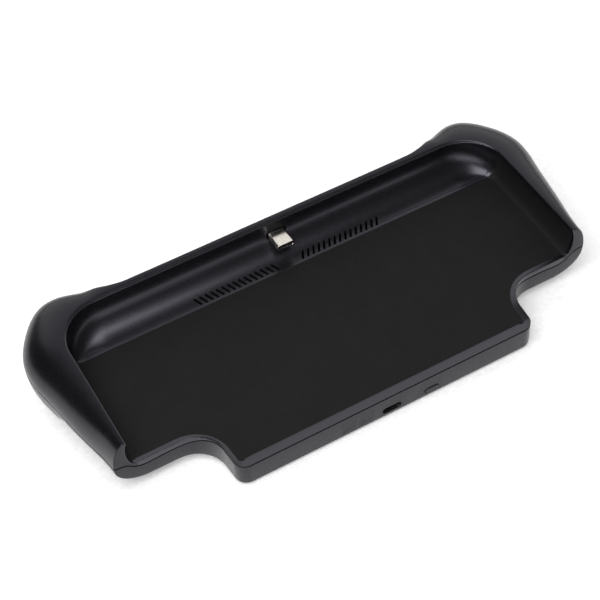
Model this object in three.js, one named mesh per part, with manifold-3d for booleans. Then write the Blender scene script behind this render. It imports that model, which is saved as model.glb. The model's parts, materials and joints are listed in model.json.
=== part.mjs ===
// A clip-on battery grip for a flat handheld game console. The console lies in a shallow tray and its
// charging socket slides onto a plug in the tray's far wall. Two cells, a charging board and the plug's
// board fill the space under the tray floor, and the ends swell into two hand grips.
//
// Everything is drawn in the tray's own frame, in millimetres: x along the tray, y from the open near
// edge to the far wall, z up from the tray floor. The last lines lean that frame back so that the grips
// and the near edge stand on z = 0.
import * as THREE from "three";
import { mergeVertices } from "three/addons/utils/BufferGeometryUtils.js";
import Module from "manifold-3d";

const wasm = await Module();
wasm.setup();

// Tray
const HALF_LENGTH = 104.5; // centre to the end wall's rim edge
const FAR_Y = 45.5; // the far wall's rim edge
const RIM_Z = 15.6;
const CORNER_RADIUS = 19.5;
const CORNER_X = HALF_LENGTH - CORNER_RADIUS; // centre of the rim's rounded corner
const CORNER_Y = FAR_Y - CORNER_RADIUS;
const END_COVE = { reach: 6, height: 5.5 }; // hollow curve from the floor up an end wall
const FAR_COVE = { reach: 14.5, height: 13 }; // the same, up the far wall
const FLOOR_THICKNESS = 1.8;
const WALL = 2;

// Near edge: two ears, cut-outs for the console's shoulder buttons, and a tongue between them
const EAR_Y = -25.5;
const EAR_INNER_X = 99.5;
const NEAR_Y = -50.2;
const CUT_OUT = { x: 84, y: -39.5, radius: 14 };
const TONGUE_CORNER = { x: 64.2, y: -44.8, radius: 5.4 };
const LIP = { height: 1.2, front: 4.6, side: 2.3, ear: 5.2, kneeShare: 0.45, kneeHeight: 0.35 };

// Outside
const BACK_Z = -12; // flat back of the body
const EQUATOR_Z = 1.5; // height at which the grips are widest
const EDGE_ROUND = 2.4; // bottom edge of the tongue and the ears
const RIM_EDGE = 1; // width of the rim's thin edge
const LEAN = THREE.MathUtils.degToRad(8); // how far the tray leans when the grip stands
const GRIP_INNER_X = 72;
const GRIP_KEEL_X = 96;
const GRIP_START_Y = -22; // the grip's underside leaves the flat back here and is full depth further on
const GRIP_FULL_Y = 20;
const KEEL = { grip: -7.5, farWall: 1.6 }; // lowest line of the outside, out from the rim
const PARTING_Z = -2.2;
const GAP = 0.3;
const SLIVER = 0.03; // edges shorter than this are folded away after the cuts
const REACH = 150; // further from the origin than any point of the grip
const ROUND = 0.01; // keeps a round hole's outline from having two points in one place

// How far the outside stands out from the rim, by distance along the rim from the ear
const BULGE = [
  [-40, 6.8], [0, 6.8], [25, 11.6], [51.5, 16.8], [58.3, 19.4], [65.1, 20.8], [71.9, 22.6], [75.3, 21.2],
  [78.7, 17.4], [82.1, 13.8], [86, 10.2], [90, 7], [95, 5], [100, 4.6], [170, 4.6],
];

// Electronics, all by their centres
const PORT = { x: 0, z: -7.1, width: 8.94, height: 3.26, depth: 7.4, recess: 0.7, wall: 0.3 };
const TONGUE = { halfWidth: 3.3, length: 4, thickness: 0.7, base: 1.4 }; // the blade inside the port
const BUTTON = { x: 19, z: -7.3, width: 6.4, height: 2.5, travel: 0.4 };
const FOOT = { width: 8.2, height: 3.2, thickness: 0.5 }; // the flange that keeps the button in
const SWITCH = { frontY: -45.9, backY: -42.6, halfWidth: 3, topZ: -5.6, plunger: 0.8, plungerDepth: 1 };
const LIGHTS = { x: -16.4, z: -7.5, pitch: 4.1, count: 4, radius: 0.6, pipeLength: 3.4 };
const BOARD = { halfWidth: 34, nearY: -47.6, farY: -27.5, bottomZ: -9.8, thickness: 0.8 };
const CHARGE_CHIP = { x: -9, y: -35, width: 5, depth: 5, height: 0.9 };
const CONTROL_CHIP = { x: -18, y: -36, width: 6, depth: 4, height: 1.1 };
const CABLE_SOCKET = { x: 0, y: -35.5, width: 8, depth: 2.4, height: 1.4 };
const COIL = { x: 13, y: -35, width: 7, depth: 7, height: 2.6, dish: 0.5, dishRadius: 2.4 };
const CAPACITOR = { places: [-28, -25, 24, 27], y: -41, width: 2, depth: 3.2, height: 1.6 };
const CELL = { innerX: 4, outerX: 76, nearY: -23, farY: 28.5, bottomZ: -9.4, thickness: 6.4, round: 1.6 };
const FOAM_PAD = { inset: 6, thickness: 0.2 };
const LEAD = { radius: 0.6, x: 24, pitch: 2.4, highZ: -6, lowZ: -8 };
const PLUG = { z: 8.9, width: 8.25, height: 2.4, wall: 0.35, tipY: 36 };
const HOLDER = { halfWidth: 6.4, nearY: 46.1, farY: 47, bottomZ: 5.6, topZ: 11.2 };
const PLUG_BOARD_THICKNESS = 1;
const UNDER_FLOOR_X = 98; // half the length of the space for the cells and boards
const CABLE = {
  width: 6, thickness: 0.3, topZ: 3.2, highZ: -4.2, lowZ: -7.9, bendY: -26.2, socketY: -29.6, endY: -32,
  roomY: 44.5,
};
const VENT = { count: 15, firstX: 6.9, pitch: 2.66, y: 34.1, length: 4.4, width: 0.95, slant: 28 };

// Case screws: each rises through a boss on the back shell into a boss under the tray floor
const SCREWS = [[60, -42], [84, -13], [64, 39]];
const SCREW = { headRadius: 2.1, shankRadius: 1, headZ: -11.2, neckZ: -9.7, tipZ: -3.2 };
const BACK_BOSS = { radius: 3.6, topZ: -6.8, sinkRadius: 2.5 };
const TRAY_BOSS = { radius: 2.9, bottomZ: -6.4, holeRadius: 1.3, holeTopZ: -2.6 };

const DEG = Math.PI / 180;

// ---- Shape helpers ----

function solidOf(geometry) {
  const bare = geometry.clone();
  bare.deleteAttribute("normal");
  bare.deleteAttribute("uv");
  const merged = mergeVertices(bare, 1e-4);
  return new wasm.Manifold(
    new wasm.Mesh({
      numProp: 3,
      vertProperties: new Float32Array(merged.attributes.position.array),
      triVerts: new Uint32Array(merged.index.array),
    }),
  );
}

function geometryOf(solid) {
  const mesh = solid.getMesh();
  const geometry = new THREE.BufferGeometry();
  geometry.setAttribute("position", new THREE.BufferAttribute(mesh.vertProperties, 3));
  geometry.setIndex(new THREE.BufferAttribute(mesh.triVerts, 1));
  return geometry;
}

function block(x0, x1, y0, y1, z0, z1) {
  const shape = new THREE.BoxGeometry(x1 - x0, y1 - y0, z1 - z0);
  shape.translate((x0 + x1) / 2, (y0 + y1) / 2, (z0 + z1) / 2);
  return solidOf(shape);
}

function post(x, y, z0, z1, radius, sides = 16) {
  const shape = new THREE.CylinderGeometry(radius, radius, z1 - z0, sides);
  shape.rotateX(Math.PI / 2);
  shape.translate(x, y, (z0 + z1) / 2);
  return solidOf(shape);
}

// An upright slab of a flat outline drawn in x and z, from y0 to y1.
function slabAlongY(shape, y0, y1, curveSegments = 6) {
  const slab = new THREE.ExtrudeGeometry(shape, { depth: y1 - y0, bevelEnabled: false, curveSegments });
  slab.rotateX(Math.PI / 2);
  slab.translate(0, y1, 0);
  return solidOf(slab);
}

// A rounded slot outline, centred on x and y of its own plane.
function pill(x, y, width, height) {
  const radius = height / 2;
  const reach = width / 2 - radius;
  const shape = new THREE.Shape();
  shape.absarc(x + reach, y, radius, -Math.PI / 2, Math.PI / 2, false);
  shape.absarc(x - reach, y, radius, Math.PI / 2, (3 * Math.PI) / 2, false);
  return shape;
}

const disc = (x, y, radius) => pill(x, y, 2 * radius + ROUND, 2 * radius);

// A closed solid through a pile of rings that hold the same number of points; first and last are flat.
function loft(rings) {
  const size = rings[0].length;
  const positions = rings.flat().flatMap((p) => [p.x, p.y, p.z]);
  const faces = [];
  for (let r = 0; r + 1 < rings.length; r++) {
    for (let i = 0; i < size; i++) {
      const j = (i + 1) % size;
      const [a, b, c, d] = [r * size + i, r * size + j, (r + 1) * size + j, (r + 1) * size + i];
      faces.push([a, b, c], [a, c, d]);
    }
  }
  const top = (rings.length - 1) * size;
  const cap = (ring) => THREE.ShapeUtils.triangulateShape(ring.map((p) => new THREE.Vector2(p.x, p.y)), []);
  for (const [a, b, c] of cap(rings[0])) faces.push([a, c, b]);
  for (const [a, b, c] of cap(rings.at(-1))) faces.push([top + a, top + b, top + c]);
  const geometry = new THREE.BufferGeometry();
  geometry.setAttribute("position", new THREE.Float32BufferAttribute(positions, 3));
  geometry.setIndex(faces.flat());
  return solidOf(geometry);
}

const smooth = (t) => THREE.MathUtils.smoothstep(t, 0, 1);

// Smooth curve through a table of [position, value] rows.
function along(table, position) {
  let k = 0;
  while (k < table.length - 2 && table[k + 1][0] < position) k++;
  const slope = (i) => {
    const [before, after] = [table[Math.max(i - 1, 0)], table[Math.min(i + 1, table.length - 1)]];
    return (after[1] - before[1]) / (after[0] - before[0]);
  };
  const [[p0, v0], [p1, v1]] = [table[k], table[k + 1]];
  const span = p1 - p0;
  const t = (position - p0) / span;
  const rise = v0 * (2 * t ** 3 - 3 * t ** 2 + 1) + v1 * (3 * t ** 2 - 2 * t ** 3);
  return rise + span * (slope(k) * (t ** 3 - 2 * t ** 2 + t) + slope(k + 1) * (t ** 3 - t ** 2));
}

const mirrored = (points) => points.map((p) => ({ ...p, x: -p.x, nx: -p.nx })).reverse();

// ---- The rim line and the skins that follow it ----

// Stations along the rim, counter-clockwise from the right ear to the left one. Each has its place, its
// outward direction and its distance along the rim from the ear. The first lies in front of the ear.
function rimStations() {
  const straight = CORNER_Y - EAR_Y;
  const right = [-62, EAR_Y, -12, 0, 12, CORNER_Y].map((y) => ({
    x: HALF_LENGTH, y, nx: 1, ny: 0, s: y - EAR_Y, turn: 0,
  }));
  for (let angle = 10; angle < 90; angle += 10) {
    const [nx, ny] = [Math.cos(angle * DEG), Math.sin(angle * DEG)];
    right.push({
      x: CORNER_X + CORNER_RADIUS * nx,
      y: CORNER_Y + CORNER_RADIUS * ny,
      nx, ny,
      s: straight + CORNER_RADIUS * angle * DEG,
      turn: angle / 90,
    });
  }
  const cornerEnd = straight + (CORNER_RADIUS * Math.PI) / 2;
  for (const x of [CORNER_X, 81, 77, 73, 68, 40]) {
    right.push({ x, y: FAR_Y, nx: 0, ny: 1, s: cornerEnd + CORNER_X - x, turn: 1 });
  }
  return [...right, ...mirrored(right)];
}

const RIM = rimStations();

const ringAt = (offset, z) =>
  RIM.map((p) => {
    const out = offset(p);
    return new THREE.Vector3(p.x + p.nx * out, p.y + p.ny * out, z(p));
  });

// Depth of a grip's underside below the flat back: it meets the surface that the grip stands on.
function gripDepth(x, y) {
  const toTable = (y - NEAR_Y - EDGE_ROUND) * Math.tan(LEAN);
  const sideways = smooth((Math.abs(x) - GRIP_INNER_X) / (GRIP_KEEL_X - GRIP_INNER_X));
  const lengthways = smooth((y - GRIP_START_Y) / (GRIP_FULL_Y - GRIP_START_Y));
  return toTable * lengthways * sideways;
}

// The body's outside, or with an inset the outline of the space inside it. Each section is a quarter of
// a superellipse above the equator and one below it: round on the grips, nearly square on the far wall.
function podSolid(inset) {
  const boxy = (p) => 2 + 5 * smooth((p.s - 80) / 15);
  const keel = (p) => KEEL.grip + (KEEL.farWall - KEEL.grip) * smooth((p.s - 76) / 20);
  const bulge = (p) => along(BULGE, p.s) - inset;
  const top = RIM_Z - inset;
  const rings = [];
  const keelRing = ringAt(keel, () => 0);
  for (const share of [1, 0.66, 0.33, 0]) {
    rings.push(
      keelRing.map((k, i) => {
        const p = RIM[i];
        const innerX = Math.sign(p.x) * Math.min(GRIP_INNER_X, 0.8 * Math.abs(p.x));
        const innerY = p.turn ? CORNER_Y + (p.y - CORNER_Y) * 0.45 : p.y;
        const x = THREE.MathUtils.lerp(k.x, innerX, share);
        const y = THREE.MathUtils.lerp(k.y, innerY, share);
        return new THREE.Vector3(x, y, BACK_Z + inset - gripDepth(x, y));
      }),
    );
  }
  const keelZ = rings.at(-1).map((k) => k.z);
  for (const tilt of [60, 35, 12]) {
    rings.push(
      RIM.map((p, i) => {
        const power = 2 / boxy(p);
        const out = keel(p) + (bulge(p) - keel(p)) * Math.cos(tilt * DEG) ** power;
        const z = EQUATOR_Z + (keelZ[i] - EQUATOR_Z) * Math.sin(tilt * DEG) ** power;
        return new THREE.Vector3(p.x + p.nx * out, p.y + p.ny * out, z);
      }),
    );
  }
  for (const tilt of [0, 20, 40, 60, 78, 90]) {
    const out = (p) => RIM_EDGE + (bulge(p) - RIM_EDGE) * Math.cos(tilt * DEG) ** (2 / boxy(p));
    rings.push(ringAt(out, (p) => EQUATOR_Z + (top - EQUATOR_Z) * Math.sin(tilt * DEG) ** (2 / boxy(p))));
  }
  return loft(rings);
}

// The hollow that the console lies in, or with growth the same hollow with the tray's wall round it.
function traySpace(growth) {
  const reach = (p) => THREE.MathUtils.lerp(END_COVE.reach, FAR_COVE.reach, smooth(p.turn));
  const height = (p) => THREE.MathUtils.lerp(END_COVE.height, FAR_COVE.height, smooth(p.turn));
  const rings = [0, 25, 50, 72, 90].map((bend) =>
    ringAt(
      (p) => growth - reach(p) * (1 - Math.sin(bend * DEG)),
      (p) => height(p) * (1 - Math.cos(bend * DEG)) - growth,
    ),
  );
  rings.push(ringAt(() => growth, () => 2 * RIM_Z));
  return loft(rings);
}

// ---- The near edge in plan ----

// Half of the near edge, from the right ear's front to the middle, with outward directions and lip widths.
function nearEdge() {
  const points = [{ x: EAR_INNER_X, y: EAR_Y, nx: 0, ny: -1, lip: LIP.ear }];
  for (let angle = 90; angle <= 180; angle += 15) {
    const [cos, sin] = [Math.cos(angle * DEG), Math.sin(angle * DEG)];
    points.push({
      x: CUT_OUT.x + CUT_OUT.radius * cos,
      y: CUT_OUT.y + CUT_OUT.radius * sin,
      nx: -cos, ny: -sin,
      lip: THREE.MathUtils.lerp(LIP.ear, LIP.side, smooth((angle - 90) / 90)),
    });
  }
  for (let angle = 0; angle <= 90; angle += 15) {
    const [cos, sin] = [Math.cos(angle * DEG), Math.sin(angle * DEG)];
    points.push({
      x: TONGUE_CORNER.x + TONGUE_CORNER.radius * cos,
      y: TONGUE_CORNER.y - TONGUE_CORNER.radius * sin,
      nx: cos, ny: -sin,
      lip: THREE.MathUtils.lerp(LIP.side, LIP.front, smooth(angle / 90)),
    });
  }
  return points;
}

// An upright prism whose near side is the near edge and whose other sides clear the body.
function planPrism(inset, round) {
  const half = nearEdge();
  const ear = { x: REACH, y: EAR_Y, nx: 0, ny: -1 };
  const back = { x: REACH, y: REACH, nx: 0, ny: 0 };
  const loop = [...[back, ear, ...half], ...mirrored([back, ear, ...half])].reverse();
  const level = (shrink, z) =>
    loop.map((p) => new THREE.Vector3(p.x - p.nx * shrink, p.y - p.ny * shrink, z));
  const floor = BACK_Z + inset;
  return loft([
    level(inset + round, -REACH),
    level(inset + round, floor),
    level(inset + round * 0.3, floor + round * 0.3),
    level(inset, floor + round),
    level(inset, REACH),
  ]);
}

// The low lip along the near edge: it rises from the floor towards the edge.
function lipSolid() {
  const half = nearEdge();
  const path = [...half, ...mirrored(half)];
  const root = -0.4;
  const row = (out, z) =>
    path.map((p) => new THREE.Vector3(p.x + p.nx * out(p), p.y + p.ny * out(p), z));
  const rows = [
    row((p) => -p.lip, root),
    row((p) => -p.lip, 0),
    row((p) => -p.lip * LIP.kneeShare, LIP.kneeHeight),
    row(() => 0, LIP.height),
    row(() => 1, LIP.height),
    row(() => 1, root),
  ];
  const size = path.length;
  const faces = [];
  for (let r = 0; r < rows.length; r++) {
    const next = (r + 1) % rows.length;
    for (let i = 0; i + 1 < size; i++) {
      const [a, b, c, d] = [r * size + i, r * size + i + 1, next * size + i + 1, next * size + i];
      faces.push([a, b, c], [a, c, d]);
    }
  }
  for (let r = 1; r + 1 < rows.length; r++) {
    faces.push([0, r * size, (r + 1) * size]);
    faces.push([size - 1, (r + 1) * size + size - 1, r * size + size - 1]);
  }
  const geometry = new THREE.BufferGeometry();
  const positions = rows.flat().flatMap((p) => [p.x, p.y, p.z]);
  geometry.setAttribute("position", new THREE.Float32BufferAttribute(positions, 3));
  geometry.setIndex(faces.flat());
  const made = solidOf(geometry);
  if (made.volume() > 0) return made;
  geometry.setIndex(faces.map(([a, b, c]) => [a, c, b]).flat());
  return solidOf(geometry);
}

// ---- Shells ----

const screwPlaces = () => [1, -1].flatMap((side) => SCREWS.map(([x, y]) => [side * x, y]));

function ventCutters() {
  const slots = [];
  for (const side of [1, -1]) {
    for (let i = 0; i < VENT.count; i++) {
      const slot = new THREE.ExtrudeGeometry(pill(0, 0, VENT.length, VENT.width), {
        depth: 2 * REACH, bevelEnabled: false, curveSegments: 2,
      });
      slot.rotateZ(side * (90 - VENT.slant) * DEG);
      slot.translate(side * (VENT.firstX + i * VENT.pitch), VENT.y, -REACH);
      slots.push(solidOf(slot));
    }
  }
  return wasm.Manifold.union(slots);
}

function frontCutters() {
  const outer = NEAR_Y - 1;
  const inner = NEAR_Y + WALL + 1;
  const cuts = [
    slabAlongY(pill(PORT.x, PORT.z, PORT.width + 2 * GAP, PORT.height + 2 * GAP), outer, inner),
    slabAlongY(pill(BUTTON.x, BUTTON.z, BUTTON.width + 2 * GAP, BUTTON.height + 2 * GAP), outer, inner),
  ];
  const lights = lightPlaces().map((x) => slabAlongY(disc(x, LIGHTS.z, LIGHTS.radius + GAP), outer, inner));
  return wasm.Manifold.union([...cuts, ...lights]);
}

const lightPlaces = () =>
  Array.from({ length: LIGHTS.count }, (_, i) => LIGHTS.x + (i - (LIGHTS.count - 1) / 2) * LIGHTS.pitch);

function buildShells() {
  const inside = podSolid(WALL).intersect(planPrism(WALL, 0.1));
  const hollow = inside.subtract(traySpace(FLOOR_THICKNESS + 1));
  const underFloor = inside.intersect(
    block(-UNDER_FLOOR_X, UNDER_FLOOR_X, -REACH, REACH, -REACH, -FLOOR_THICKNESS),
  );
  const body = podSolid(0).subtract(traySpace(0)).add(lipSolid()).intersect(planPrism(0, EDGE_ROUND));
  const shell = body.subtract(hollow).subtract(underFloor).subtract(ventCutters());
  const above = block(-REACH, REACH, -REACH, REACH, PARTING_Z + GAP / 2, REACH);
  const below = block(-REACH, REACH, -REACH, REACH, -REACH, PARTING_Z - GAP / 2);
  const tray = withTrayBosses(shell.intersect(above))
    .subtract(plugPocket().intersect(above))
    .subtract(plugWindow());
  const back = withBackBosses(shell.intersect(below).subtract(frontCutters()));
  return { tray: tray.simplify(SLIVER), back: back.simplify(SLIVER) };
}

function withTrayBosses(tray) {
  const { radius, bottomZ, holeRadius, holeTopZ } = TRAY_BOSS;
  return screwPlaces().reduce(
    (shell, [x, y]) =>
      shell
        .add(post(x, y, bottomZ, -FLOOR_THICKNESS / 2, radius))
        .subtract(post(x, y, bottomZ - 1, holeTopZ, holeRadius, 12)),
    tray,
  );
}

function withBackBosses(back) {
  const { radius, topZ, sinkRadius } = BACK_BOSS;
  return screwPlaces().reduce(
    (shell, [x, y]) =>
      shell
        .add(post(x, y, BACK_Z + 1, topZ, radius))
        .subtract(post(x, y, -REACH, SCREW.neckZ + GAP, sinkRadius))
        .subtract(post(x, y, -REACH, 0, TRAY_BOSS.holeRadius, 12)),
    back,
  );
}

// Room in the far wall: for the plug's holder and board, and in front of the board for the flat cable.
function plugPocket() {
  const halfWidth = HOLDER.halfWidth + GAP;
  const farY = HOLDER.farY + 2 * GAP + PLUG_BOARD_THICKNESS;
  return block(-halfWidth, halfWidth, CABLE.roomY, farY, BACK_Z, HOLDER.bottomZ).add(
    block(-halfWidth, halfWidth, HOLDER.nearY - GAP, farY, HOLDER.bottomZ - 1, HOLDER.topZ + GAP),
  );
}

// The window that the plug comes through.
const plugWindow = () =>
  slabAlongY(pill(0, PLUG.z, PLUG.width + 2 * GAP, PLUG.height + 2 * GAP), CORNER_Y, HOLDER.farY);

// ---- Plug ----

function plugShell() {
  const tube = pill(0, PLUG.z, PLUG.width, PLUG.height);
  const bore = pill(0, PLUG.z, PLUG.width - 2 * PLUG.wall, PLUG.height - 2 * PLUG.wall);
  return slabAlongY(tube, PLUG.tipY, HOLDER.nearY - GAP, 8).subtract(
    slabAlongY(bore, PLUG.tipY - 1, HOLDER.nearY, 8),
  );
}

function plugInsert() {
  const [clear, inset, side, face] = [0.1, 0.5, 0.45, 0.35];
  const width = PLUG.width - 2 * (PLUG.wall + clear);
  const height = PLUG.height - 2 * (PLUG.wall + clear);
  const body = slabAlongY(pill(0, PLUG.z, width, height), PLUG.tipY + inset, HOLDER.nearY - GAP, 8);
  const mouth = pill(0, PLUG.z, width - 2 * side, height - 2 * face);
  return body.subtract(slabAlongY(mouth, PLUG.tipY, HOLDER.nearY - WALL, 4));
}

const plugHolder = () =>
  block(-HOLDER.halfWidth, HOLDER.halfWidth, HOLDER.nearY, HOLDER.farY, HOLDER.bottomZ, HOLDER.topZ);

function plugBoard() {
  const front = HOLDER.farY + GAP;
  return block(
    -HOLDER.halfWidth, HOLDER.halfWidth,
    front, front + PLUG_BOARD_THICKNESS,
    PARTING_Z + 1, HOLDER.topZ,
  );
}

// Flat cable: down in front of the plug's board, then under the floor between the cells, and down again
// to its socket on the charging board. Its outline goes along the upper face and back along the lower.
function flatCable() {
  const { width, thickness, highZ, lowZ, topZ, bendY, socketY, endY } = CABLE;
  const y = HOLDER.farY - 0.9;
  const outline = [
    [y, topZ], [y - thickness, topZ], [y - thickness, highZ], [bendY, highZ], [socketY, lowZ], [endY, lowZ],
    [endY, lowZ - thickness], [socketY + 0.2, lowZ - thickness], [bendY + 0.2, highZ - thickness],
    [y, highZ - thickness],
  ];
  const shape = new THREE.Shape(outline.map(([a, b]) => new THREE.Vector2(a, b)));
  const ribbon = new THREE.ExtrudeGeometry(shape, { depth: width, bevelEnabled: false });
  ribbon.rotateX(Math.PI / 2);
  ribbon.rotateZ(Math.PI / 2);
  ribbon.translate(-width / 2, 0, 0);
  return solidOf(ribbon);
}

// ---- Charging board and what is on it ----

const BOARD_TOP = BOARD.bottomZ + BOARD.thickness;
const MOUNT_Z = BOARD_TOP + 0.1; // underside of what is soldered to the board

const mainBoard = () =>
  block(-BOARD.halfWidth, BOARD.halfWidth, BOARD.nearY, BOARD.farY, BOARD.bottomZ, BOARD_TOP);

function portShell() {
  const front = NEAR_Y + PORT.recess;
  const outside = pill(PORT.x, PORT.z, PORT.width, PORT.height);
  const inside = pill(PORT.x, PORT.z, PORT.width - 2 * PORT.wall, PORT.height - 2 * PORT.wall);
  const can = slabAlongY(outside, front, front + PORT.depth);
  return can.subtract(slabAlongY(inside, front - 1, front + PORT.depth - 1));
}

function portTongue() {
  const slack = 2 * (PORT.wall + 0.15);
  const back = NEAR_Y + PORT.recess + PORT.depth - 1.2;
  const front = back - TONGUE.base;
  const half = TONGUE.thickness / 2;
  const base = slabAlongY(pill(PORT.x, PORT.z, PORT.width - slack, PORT.height - slack), front, back);
  return base.add(
    block(
      PORT.x - TONGUE.halfWidth, PORT.x + TONGUE.halfWidth,
      front - TONGUE.length, back - TONGUE.base / 2,
      PORT.z - half, PORT.z + half,
    ),
  );
}

// The button's cap fills a slot in the near wall; a wider foot inside keeps it from falling out.
function buttonCap() {
  const footY = NEAR_Y + WALL + GAP;
  const face = pill(BUTTON.x, BUTTON.z, BUTTON.width, BUTTON.height);
  const foot = pill(BUTTON.x, BUTTON.z, FOOT.width, FOOT.height);
  return slabAlongY(face, NEAR_Y, footY + 0.1).add(slabAlongY(foot, footY, footY + FOOT.thickness));
}

function switchBody() {
  const box = block(
    BUTTON.x - SWITCH.halfWidth, BUTTON.x + SWITCH.halfWidth,
    SWITCH.frontY, SWITCH.backY,
    MOUNT_Z, SWITCH.topZ,
  );
  const bore = disc(BUTTON.x, BUTTON.z, SWITCH.plunger + GAP / 2);
  const boreEnd = SWITCH.frontY + SWITCH.plungerDepth + BUTTON.travel + GAP / 2;
  return box.subtract(slabAlongY(bore, SWITCH.frontY - 1, boreEnd));
}

const switchPlunger = () =>
  slabAlongY(
    disc(BUTTON.x, BUTTON.z, SWITCH.plunger),
    NEAR_Y + WALL + FOOT.thickness + 2 * GAP,
    SWITCH.frontY + SWITCH.plungerDepth,
  );

const lightPipe = (x) =>
  slabAlongY(disc(x, LIGHTS.z, LIGHTS.radius), NEAR_Y + 0.1, NEAR_Y + LIGHTS.pipeLength);

function lightChip(x) {
  const front = NEAR_Y + LIGHTS.pipeLength + GAP;
  return block(x - 0.8, x + 0.8, front, front + 0.8, MOUNT_Z, LIGHTS.z + LIGHTS.radius + 0.2);
}

const onBoard = ({ x, y, width, depth, height }) =>
  block(x - width / 2, x + width / 2, y - depth / 2, y + depth / 2, MOUNT_Z, MOUNT_Z + height);

function powerCoil() {
  const winding = post(COIL.x, COIL.y, MOUNT_Z + COIL.height - COIL.dish, 0, COIL.dishRadius, 20);
  return onBoard(COIL).subtract(winding);
}

// ---- Cells ----

function cell(side) {
  const [x0, x1] = [CELL.innerX, CELL.outerX].map((x) => side * x).sort((a, b) => a - b);
  const shape = new THREE.Shape();
  const { round, bottomZ: bottom } = CELL;
  const top = bottom + CELL.thickness;
  shape.moveTo(x0 + round, bottom);
  shape.lineTo(x1 - round, bottom);
  shape.quadraticCurveTo(x1, bottom, x1, bottom + round);
  shape.lineTo(x1, top - round);
  shape.quadraticCurveTo(x1, top, x1 - round, top);
  shape.lineTo(x0 + round, top);
  shape.quadraticCurveTo(x0, top, x0, top - round);
  shape.lineTo(x0, bottom + round);
  shape.quadraticCurveTo(x0, bottom, x0 + round, bottom);
  return slabAlongY(shape, CELL.nearY, CELL.farY, 3);
}

function foamPad(side) {
  const { inset, thickness } = FOAM_PAD;
  const [x0, x1] = [CELL.innerX + inset, CELL.outerX - inset].map((x) => side * x).sort((a, b) => a - b);
  const top = CELL.bottomZ - 0.05;
  return block(x0, x1, CELL.nearY + inset, CELL.farY - inset, top - thickness, top);
}

// A wire from a cell's near end to the charging board.
function cellLead(side, index) {
  const x = side * (LEAD.x + LEAD.pitch * index);
  const route = new THREE.CatmullRomCurve3([
    new THREE.Vector3(x, CELL.nearY - GAP, LEAD.highZ),
    new THREE.Vector3(x, CELL.nearY - 1.6, LEAD.highZ),
    new THREE.Vector3(x - side * 1.5, CELL.nearY - 4.4, LEAD.highZ - 0.6),
    new THREE.Vector3(x - side * 2, CELL.nearY - 7.5, LEAD.lowZ),
    new THREE.Vector3(x - side * 2, CELL.nearY - 9.5, LEAD.lowZ),
  ]);
  const section = new THREE.Shape();
  section.absarc(0, 0, LEAD.radius, 0, 2 * Math.PI, false);
  return new THREE.ExtrudeGeometry(section, { steps: 10, curveSegments: 4, extrudePath: route });
}

// ---- Fasteners ----

function caseScrew(x, y) {
  const head = post(x, y, SCREW.headZ, SCREW.neckZ, SCREW.headRadius, 18).subtract(crossRecess(x, y));
  return head.add(post(x, y, SCREW.neckZ - 0.1, SCREW.tipZ, SCREW.shankRadius, 12));
}

function crossRecess(x, y) {
  const [long, thin, deep] = [1.2, 0.3, 0.6];
  const top = SCREW.headZ + deep;
  return block(x - long, x + long, y - thin, y + thin, SCREW.headZ - 1, top).add(
    block(x - thin, x + thin, y - long, y + long, SCREW.headZ - 1, top),
  );
}

// ---- Assembly ----

const finish = (color, roughness, metalness) => ({ color, roughness, metalness });
const SHELL = finish(0x1d1d1f, 0.5, 0);
const BLACK_PLASTIC = finish(0x121213, 0.45, 0);
const NICKEL = finish(0xc9c6bf, 0.22, 1);
const STEEL = finish(0x6f7072, 0.35, 1);
const BOARD_GREEN = finish(0x12402a, 0.5, 0);
const CHIP = finish(0x17181a, 0.4, 0);
const FOIL = finish(0x9ea2a6, 0.4, 0.6);
const FOAM = finish(0x2b2b2d, 0.95, 0);
const CLEAR = finish(0xd8dde0, 0.15, 0);
const AMBER = finish(0x8a5a22, 0.5, 0);
const RED = finish(0xa01c18, 0.5, 0);

const assembly = new THREE.Group();

function add(name, shape, look) {
  const geometry = shape.isBufferGeometry ? shape : geometryOf(shape);
  const mesh = new THREE.Mesh(geometry, new THREE.MeshStandardMaterial(look));
  mesh.name = name;
  assembly.add(mesh);
}

function addShells() {
  const { tray, back } = buildShells();
  add("tray_shell", tray, SHELL);
  add("back_shell", back, SHELL);
}

function addPlug() {
  add("plug_shell", plugShell(), NICKEL);
  add("plug_insert", plugInsert(), BLACK_PLASTIC);
  add("plug_holder", plugHolder(), BLACK_PLASTIC);
  add("plug_board", plugBoard(), BOARD_GREEN);
  add("flat_cable", flatCable(), AMBER);
}

function addBoard() {
  add("main_board", mainBoard(), BOARD_GREEN);
  add("port_shell", portShell(), NICKEL);
  add("port_tongue", portTongue(), BLACK_PLASTIC);
  add("charge_chip", onBoard(CHARGE_CHIP), CHIP);
  add("control_chip", onBoard(CONTROL_CHIP), CHIP);
  add("power_coil", powerCoil(), CHIP);
  add("cable_socket", onBoard(CABLE_SOCKET), BLACK_PLASTIC);
  CAPACITOR.places.forEach((x, i) => add(`capacitor_${i + 1}`, onBoard({ ...CAPACITOR, x }), AMBER));
  lightPlaces().forEach((x, i) => {
    add(`light_chip_${i + 1}`, lightChip(x), CLEAR);
    add(`light_pipe_${i + 1}`, lightPipe(x), CLEAR);
  });
}

function addButton() {
  add("power_button", buttonCap(), SHELL);
  add("switch_plunger", switchPlunger(), BLACK_PLASTIC);
  add("switch_body", switchBody(), STEEL);
}

function addCells() {
  for (const [side, name] of [[1, "right"], [-1, "left"]]) {
    add(`cell_${name}`, cell(side), FOIL);
    add(`cell_pad_${name}`, foamPad(side), FOAM);
    add(`cell_lead_${name}_plus`, cellLead(side, 0), RED);
    add(`cell_lead_${name}_minus`, cellLead(side, 1), BLACK_PLASTIC);
  }
}

function addScrews() {
  screwPlaces().forEach(([x, y], i) => add(`case_screw_${i + 1}`, caseScrew(x, y), STEEL));
}

addShells();
addPlug();
addBoard();
addButton();
addCells();
addScrews();

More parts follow.
